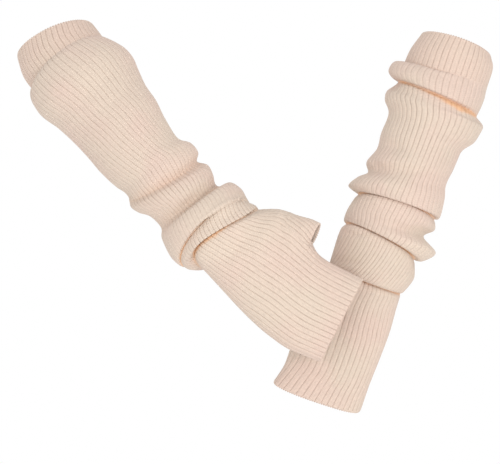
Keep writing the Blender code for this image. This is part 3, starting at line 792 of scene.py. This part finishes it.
def from_crest(tree, rib):
    """How far a place counted in ribs is from the crest of its rib, up to 0.5 in a groove."""
    across = math_node(tree, "FRACT", rib)
    return math_node(tree, "ABSOLUTE", math_node(tree, "SUBTRACT", across, 0.5))


def seeded_noise(tree, seed, scale, detail, roughness):
    """Noise through space that differs with a seed."""
    sockets = {"W": seed, "Scale": scale, "Detail": detail, "Roughness": roughness}
    return add_node(tree, "ShaderNodeTexNoise", sockets, noise_dimensions="4D").outputs[0]


def rib_tree():
    """Presses in the grooves between and along the ribs, and makes the cloth uneven."""
    labels = ("Rib Depth", "Groove Share", "Crown Share", "Middle Share", "Unevenness", "Seed")
    tree, start, end = new_tree("raised_ribs", [(label, "Float") for label in labels])
    value = start.outputs
    kind = "GeometryNodeInputNamedAttribute"
    rib = add_node(tree, kind, {"Name": "rib"}, data_type="FLOAT").outputs["Attribute"]
    relief = add_node(tree, kind, {"Name": "relief"}, data_type="FLOAT").outputs["Attribute"]
    off_crest = product(tree, from_crest(tree, rib), 2.0)
    groove_from = math_node(tree, "SUBTRACT", 1.0, value["Groove Share"])
    groove = ramp_between(tree, off_crest, groove_from, 1.0)
    breaks = seeded_noise(tree, value["Seed"], scale=130.0, detail=2.0, roughness=0.7)
    groove = product(tree, breaks, GROOVE_BREAKS, groove)
    crown = product(tree, math_node(tree, "POWER", off_crest, 2.0), value["Crown Share"])
    sockets = {"Value": off_crest, "From Min": 0.5, "From Max": 0.0, "To Max": value["Middle Share"]}
    middle = add_node(tree, "ShaderNodeMapRange", sockets).outputs["Result"]
    pressed = math_node(tree, "ADD", math_node(tree, "ADD", groove, crown), middle)
    pressed = product(tree, pressed, value["Rib Depth"])
    noise = seeded_noise(tree, value["Seed"], scale=42.0, detail=3.0, roughness=0.6)
    swell = product(tree, math_node(tree, "SUBTRACT", noise, 0.5), value["Unevenness"])
    push = product(tree, math_node(tree, "SUBTRACT", swell, pressed), relief)
    normal = tree.nodes.new("GeometryNodeInputNormal").outputs[0]
    sockets = {0: normal, "Scale": push}
    offset = add_node(tree, "ShaderNodeVectorMath", sockets, operation="SCALE").outputs[0]
    sockets = {"Geometry": value["Geometry"], "Offset": offset}
    moved = add_node(tree, "GeometryNodeSetPosition", sockets)
    plain = add_node(tree, "GeometryNodeRealizeInstances", {"Geometry": moved.outputs[0]})
    end_tree(tree, plain.outputs[0], value["Material"], end)
    return tree


def edge_tree():
    """Sets yarn loops side by side along an edge line."""
    inputs = [("Loops", "Int"), ("Loop Radius", "Float"), ("Yarn Radius", "Float"), ("Lean", "Float")]
    tree, start, end = new_tree("edge_loops", inputs)
    value = start.outputs
    line = add_node(tree, "GeometryNodeMeshToCurve", {"Mesh": value["Geometry"]})
    sockets = {"Curve": line.outputs[0], "Count": value["Loops"]}
    spaced = add_node(tree, "GeometryNodeResampleCurve", sockets)
    circle = "GeometryNodeCurvePrimitiveCircle"
    loop = add_node(tree, circle, {"Resolution": 10, "Radius": value["Loop Radius"]})
    yarn = add_node(tree, circle, {"Resolution": 5, "Radius": value["Yarn Radius"]})
    sockets = {"Curve": loop.outputs["Curve"], "Profile Curve": yarn.outputs["Curve"]}
    link = add_node(tree, "GeometryNodeCurveToMesh", sockets)
    tangent = tree.nodes.new("GeometryNodeInputTangent").outputs[0]
    facing = add_node(tree, "FunctionNodeAlignRotationToVector", {"Vector": tangent}, axis="Z")
    lean = add_node(tree, "ShaderNodeCombineXYZ", {"X": value["Lean"], "Y": value["Lean"]})
    sockets = {"Rotation": facing.outputs[0], "Rotate By": lean.outputs[0]}
    turned = add_node(tree, "FunctionNodeRotateRotation", sockets, rotation_space="LOCAL")
    sockets = {
        "Points": spaced.outputs[0],
        "Instance": link.outputs[0],
        "Rotation": turned.outputs[0],
    }
    placed = add_node(tree, "GeometryNodeInstanceOnPoints", sockets)
    plain = add_node(tree, "GeometryNodeRealizeInstances", {"Geometry": placed.outputs[0]})
    smooth = add_node(tree, "GeometryNodeSetShadeSmooth", {"Geometry": plain.outputs[0]})
    end_tree(tree, smooth.outputs[0], value["Material"], end)
    return tree


def run_tree(piece, tree, inputs):
    """Runs a tree on a piece with its inputs set, and keeps the result as plain mesh."""
    modifier = piece.modifiers.new(tree.name, "NODES")
    modifier.node_group = tree
    for socket in tree.interface.items_tree:
        if socket.in_out == "INPUT" and socket.name in inputs:
            modifier[socket.identifier] = inputs[socket.name]
    make_plain(piece)


def make_plain(piece):
    """Replaces a piece's mesh with what its modifiers make of it, and removes them."""
    graph = bpy.context.evaluated_depsgraph_get()
    mesh = bpy.data.meshes.new_from_object(
        piece.evaluated_get(graph), preserve_all_data_layers=True, depsgraph=graph
    )
    piece.modifiers.clear()
    piece.data = mesh


def filled_tube(name, rings, offset):
    """A closed solid of a tube's form, grown or shrunk by an offset, to cut with."""
    rings = (rings + outward(rings) * offset)[::2, ::3]
    mesh = bpy.data.meshes.new(name)
    corners = (rings.reshape(-1, 3) * MM).tolist()
    mesh.from_pydata(corners, [], capped_faces(*rings.shape[:2]))
    return place_object(name, mesh)


def cut_away(piece, cutter, folded=False):
    """Cuts a solid out of a piece, which may be folded onto itself, and removes the solid."""
    modifier = piece.modifiers.new("cut", "BOOLEAN")
    modifier.operation = "DIFFERENCE"
    modifier.solver = "EXACT"
    modifier.use_self = folded
    modifier.object = cutter
    make_plain(piece)
    bpy.data.objects.remove(cutter, do_unlink=True)


def mix_colours(tree, share, a, b, blend="MIX"):
    """Two colours mixed, by a share of the second."""
    node = tree.nodes.new("ShaderNodeMix")
    node.data_type = "RGBA"
    node.blend_type = blend
    for key, value in (("Factor_Float", share), ("A_Color", a), ("B_Color", b)):
        socket = next(s for s in node.inputs if s.identifier == key)
        if isinstance(value, bpy.types.NodeSocket):
            tree.links.new(value, socket)
        else:
            socket.default_value = value
    return next(s for s in node.outputs if s.identifier == "Result_Color")


def noise_value(tree, coordinates, scale):
    """Noise at some coordinates, from 0 to 1."""
    sockets = {"Vector": coordinates, "Scale": scale, "Detail": 2.0}
    return add_node(tree, "ShaderNodeTexNoise", sockets).outputs[0]


def cloth_value(tree, name):
    """A number that the points of the cloth carry."""
    return add_node(tree, "ShaderNodeAttribute", attribute_name=name).outputs["Fac"]


def knit_material(name, pale, blush):
    """Matt rib knit: V stitches along each rib, blotches of blush, and painted shade in the grooves,
    down each rib's middle and in and beside the gaps of folds.
    """
    material = bpy.data.materials.new(name)
    material.use_nodes = True
    tree = material.node_tree
    shader = tree.nodes["Principled BSDF"]
    matt = {"Roughness": 0.92, "Sheen Weight": 0.12, "Sheen Roughness": 0.6, "Specular IOR Level": 0.2}
    for label, value in matt.items():
        shader.inputs[label].default_value = value
    place = tree.nodes.new("ShaderNodeTexCoord").outputs["Object"]
    knit = add_node(tree, "ShaderNodeUVMap", uv_map="knit").outputs[0]
    split = add_node(tree, "ShaderNodeSeparateXYZ", {0: knit})
    off_crest = from_crest(tree, split.outputs["X"])
    leg = scaled(tree, off_crest, by=STITCH_SLOPE, plus=split.outputs["Y"])
    wave = math_node(tree, "SINE", product(tree, leg, math.pi))
    stitch = math_node(tree, "ABSOLUTE", wave)
    groove = ramp_between(tree, off_crest, low=0.40, high=0.48)
    crest = math_node(tree, "SUBTRACT", 1.0, ramp_between(tree, off_crest, low=0.02, high=0.1))

    blotch = ramp_between(tree, noise_value(tree, place, scale=18.0), low=0.34, high=0.68)
    colour = mix_colours(tree, blotch, pale, blush)
    speck = scaled(tree, noise_value(tree, place, scale=420.0), by=0.2, plus=0.9)
    stitch_shade = scaled(tree, stitch, by=0.08, plus=0.95)
    # A painted shade along the groove that runs down the middle of each rib
    crest_shade = scaled(tree, crest, by=-0.06, plus=1.0)
    shade = product(tree, speck, stitch_shade, crest_shade)
    grey = add_node(tree, "ShaderNodeCombineXYZ", {"X": shade, "Y": shade, "Z": shade})
    colour = mix_colours(tree, 1.0, colour, grey.outputs[0], "MULTIPLY")
    uneven = ramp_between(tree, noise_value(tree, place, scale=90.0), low=0.3, high=0.7)
    # Painted shade in the grooves between the ribs, stronger where the ribs are clear
    groove_shade = scaled(tree, uneven, by=0.35, plus=0.22)
    dark = product(tree, cloth_value(tree, "clear"), groove_shade, groove)
    colour = mix_colours(tree, dark, colour, GROOVE_SHADE_COLOUR)
    # A soft painted shade on the cloth beside the gaps of folds
    soft = product(tree, cloth_value(tree, "soft_shade"), SOFT_SHADE_SHARE)
    colour = mix_colours(tree, soft, colour, SOFT_SHADE_COLOUR)
    # Painted shade in the gaps of folds, warmed as if by light bounced into them
    gap = cloth_value(tree, "gap")
    colour = mix_colours(tree, product(tree, gap, GAP_SHADE_SHARE), colour, GAP_SHADE_COLOUR)
    # A darker painted shade deep in the gaps, where the lip above shades them
    deep = product(tree, uneven, DEEP_SHADE_SHARE, ramp_between(tree, gap, low=0.6, high=1.0))
    colour = mix_colours(tree, deep, colour, DEEP_SHADE_COLOUR)
    tree.links.new(colour, shader.inputs["Base Color"])

    fibre = noise_value(tree, place, scale=1500.0)
    yarn = scaled(tree, fibre, by=FIBRE_SHARE, plus=stitch)
    bump = add_node(tree, "ShaderNodeBump", {"Strength": 0.5, "Distance": 0.0005, "Height": yarn})
    tree.links.new(bump.outputs[0], shader.inputs["Normal"])
    return material


def edge_line(tube):
    """The line along the middle of the cloth at a tube's open end."""
    at, next_in = (0, 1) if tube.open_end == "first" else (-1, -2)
    edge = tube.rings[at]
    beyond = edge - tube.rings[next_in]
    beyond /= np.linalg.norm(beyond, axis=1, keepdims=True)
    inward = outward(tube.rings)[at] * tube.wall / 2
    points = edge - inward + beyond * (tube.wall / 2 - LOOP_INSET)
    name = tube.node + "_edge_loops"
    mesh = bpy.data.meshes.new(name)
    count = len(points)
    sides = [(j, (j + 1) % count) for j in range(count)]
    mesh.from_pydata((points * MM).tolist(), sides, [])
    return place_object(name, mesh)


def tube_length(sections):
    """The mean length of a tube along its cloth."""
    shares = np.arange(SLEEVE_RIBS) / SLEEVE_RIBS
    rings = np.array([ring(s, shares) for s in sections])
    return np.linalg.norm(np.diff(rings, axis=0), axis=2).sum(axis=0).mean()


def tube_girth(sections):
    """The mean length round a tube."""
    closed = np.linspace(0, 1, MEASURE_POINTS + 1)
    return np.mean([run_along(ring(s, closed))[-1] for s in sections])


def dress(piece, node, sections, edges, shown=1.0):
    """Attaches a finished tube and its edge loops to the root body and hides its solid; its girth and
    shown length are worked out but not used.
    """
    girth = tube_girth(sections) * MM
    length = tube_length(sections) * MM * shown
    for each in (piece, *edges):
        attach(each, "root")
    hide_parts(node)


def knitted(tube, tree, seed):
    """A tube's cloth with its ribs raised."""
    piece = cloth_tube(tube.node + "_knit", tube.rings, tube.folds, tube.ribs, tube.wall)
    inputs = {
        "Rib Depth": RIB_DEPTH * MM,
        "Groove Share": GROOVE_SHARE,
        "Crown Share": CROWN_SHARE,
        "Middle Share": MIDDLE_SHARE,
        "Unevenness": UNEVENNESS * MM,
        "Seed": seed,
        "Material": tube.knit,
    }
    run_tree(piece, tree, inputs)
    return piece


def edge_loops(tube, tree):
    """The yarn loops along a tube's open edge."""
    line = edge_line(tube)
    inputs = {
        "Loops": LOOPS_PER_RIB * tube.ribs,
        "Loop Radius": tube.loop_radius * MM,
        "Yarn Radius": YARN_RADIUS * MM,
        "Lean": LOOP_LEAN,
        "Material": tube.knit,
    }
    run_tree(line, tree, inputs)
    return line


def arm_warmer(side, band, sleeve, thumb, folds, trees, knits, seed):
    """One warmer: band, sleeve with its thumb hole, thumb tube, and the loops of their edges."""
    ribs, loops = trees
    knit, band_knit = knits
    nodes = [side + part for part in ("_top_band", "_sleeve", "_thumb")]
    below_seam = [moved_down(band[-1], SEAM_GAP)] + sleeve
    band_form = tube_form(band, SLEEVE_RIBS)
    sleeve_rings, sleeve_folds = tube_form(below_seam, SLEEVE_RIBS, *folds)
    thumb_rings, thumb_folds = tube_form(thumb, THUMB_RIBS)
    sleeve_form = (flowed_together(sleeve_rings, thumb_rings[:-FREE_ROWS]), sleeve_folds)
    thumb_form = (flowed_together(thumb_rings, sleeve_rings, FREE_ROWS), thumb_folds)
    tubes = (
        Tube(nodes[0], *band_form, SLEEVE_RIBS, BAND_WALL, "first", LOOP_RADIUS, band_knit),
        Tube(nodes[1], *sleeve_form, SLEEVE_RIBS, SLEEVE_WALL, "last", LOOP_RADIUS, knit),
        Tube(nodes[2], *thumb_form, THUMB_RIBS, THUMB_WALL, "last", THUMB_LOOP_RADIUS, knit),
    )
    pieces = [knitted(tube, ribs, seed) for tube in tubes]
    cut_away(pieces[1], filled_tube("thumb_hole", thumb_rings, -THUMB_WALL - HOLE_MARGIN))
    cut_away(pieces[2], filled_tube("sleeve_form", sleeve_rings, -THUMB_SINK), folded=True)
    edges = [[edge_loops(tube, loops)] for tube in tubes]
    dress(pieces[0], nodes[0], band, edges[0])
    dress(pieces[1], nodes[1], below_seam, edges[1])
    dress(pieces[2], nodes[2], thumb, edges[2], THUMB_SHOWN)


def add_camera():
    """A long lens far away, level with the middle of the picture."""
    x = (PICTURE_WIDTH / 2 - ORIGIN_X) * PIXEL * MM
    z = (ORIGIN_Y - PICTURE_HEIGHT / 2) * PIXEL * MM
    data = bpy.data.cameras.new("camera")
    data.sensor_width = 36.0
    data.lens = data.sensor_width * CAMERA_DISTANCE / (PICTURE_WIDTH * PIXEL * MM)
    data.clip_end = 5 * CAMERA_DISTANCE
    camera = place_object("camera", data)
    camera.location = (x, TARGET_Y - CAMERA_DISTANCE, z)
    camera.rotation_euler = (math.pi / 2, 0.0, 0.0)
    bpy.context.scene.camera = camera


def add_softbox(lamp, middle):
    """A round soft lamp that shines at the middle of the object."""
    data = bpy.data.lights.new(lamp.name, "AREA")
    data.shape = "DISK"
    data.size = lamp.width
    data.energy = lamp.power
    data.color = LAMP_COLOUR
    place = middle + Vector(lamp.place)
    softbox = place_object(lamp.name, data)
    softbox.location = place
    softbox.rotation_euler = (middle - place).to_track_quat("-Z", "Y").to_euler()


def add_studio(low, high):
    """A white floor below the object, white surroundings and two soft lights."""
    scene = bpy.context.scene
    scene.view_settings.view_transform = "Standard"
    world = bpy.data.worlds.new("studio")
    world.use_nodes = True
    background = world.node_tree.nodes["Background"]
    background.inputs["Color"].default_value = WHITE
    background.inputs["Strength"].default_value = 1.0
    scene.world = world
    for lamp in LAMPS:
        add_softbox(lamp, (low + high) / 2)
    mesh = bpy.data.meshes.new("floor")
    level = low.z - FLOOR_DROP
    sides = ((-1, -1), (1, -1), (1, 1), (-1, 1))
    corners = [(x * FLOOR_REACH, y * FLOOR_REACH, level) for x, y in sides]
    mesh.from_pydata(corners, [], [(0, 1, 2, 3)])
    paint = bpy.data.materials.new("pale_floor")
    paint.use_nodes = True
    shader = paint.node_tree.nodes["Principled BSDF"]
    shader.inputs["Base Color"].default_value = WHITE
    shader.inputs["Roughness"].default_value = 0.9
    mesh.materials.append(paint)
    place_object("floor", mesh)


def main():
    """Loads the solids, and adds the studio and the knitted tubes."""
    for item in list(bpy.data.objects):
        bpy.data.objects.remove(item, do_unlink=True)
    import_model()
    low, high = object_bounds()
    add_camera()
    add_studio(low, high)
    trees = (rib_tree(), edge_tree())
    knits = (
        knit_material("blush_rib_knit", SLEEVE_PALE, SLEEVE_BLUSH),
        knit_material("greyed_rib_knit", BAND_PALE, BAND_BLUSH),
    )
    right = (RIGHT_BAND, RIGHT_SLEEVE, RIGHT_THUMB)
    right_folds = (RIGHT_SPREADS, RIGHT_GAPS, RIGHT_CREASES)
    left = (LEFT_BAND, LEFT_SLEEVE, LEFT_THUMB)
    left_folds = (LEFT_SPREADS, LEFT_GAPS, LEFT_CREASES)
    arm_warmer("right", *right, right_folds, trees, knits, seed=3.0)
    arm_warmer("left", *left, left_folds, trees, knits, seed=8.0)


main()
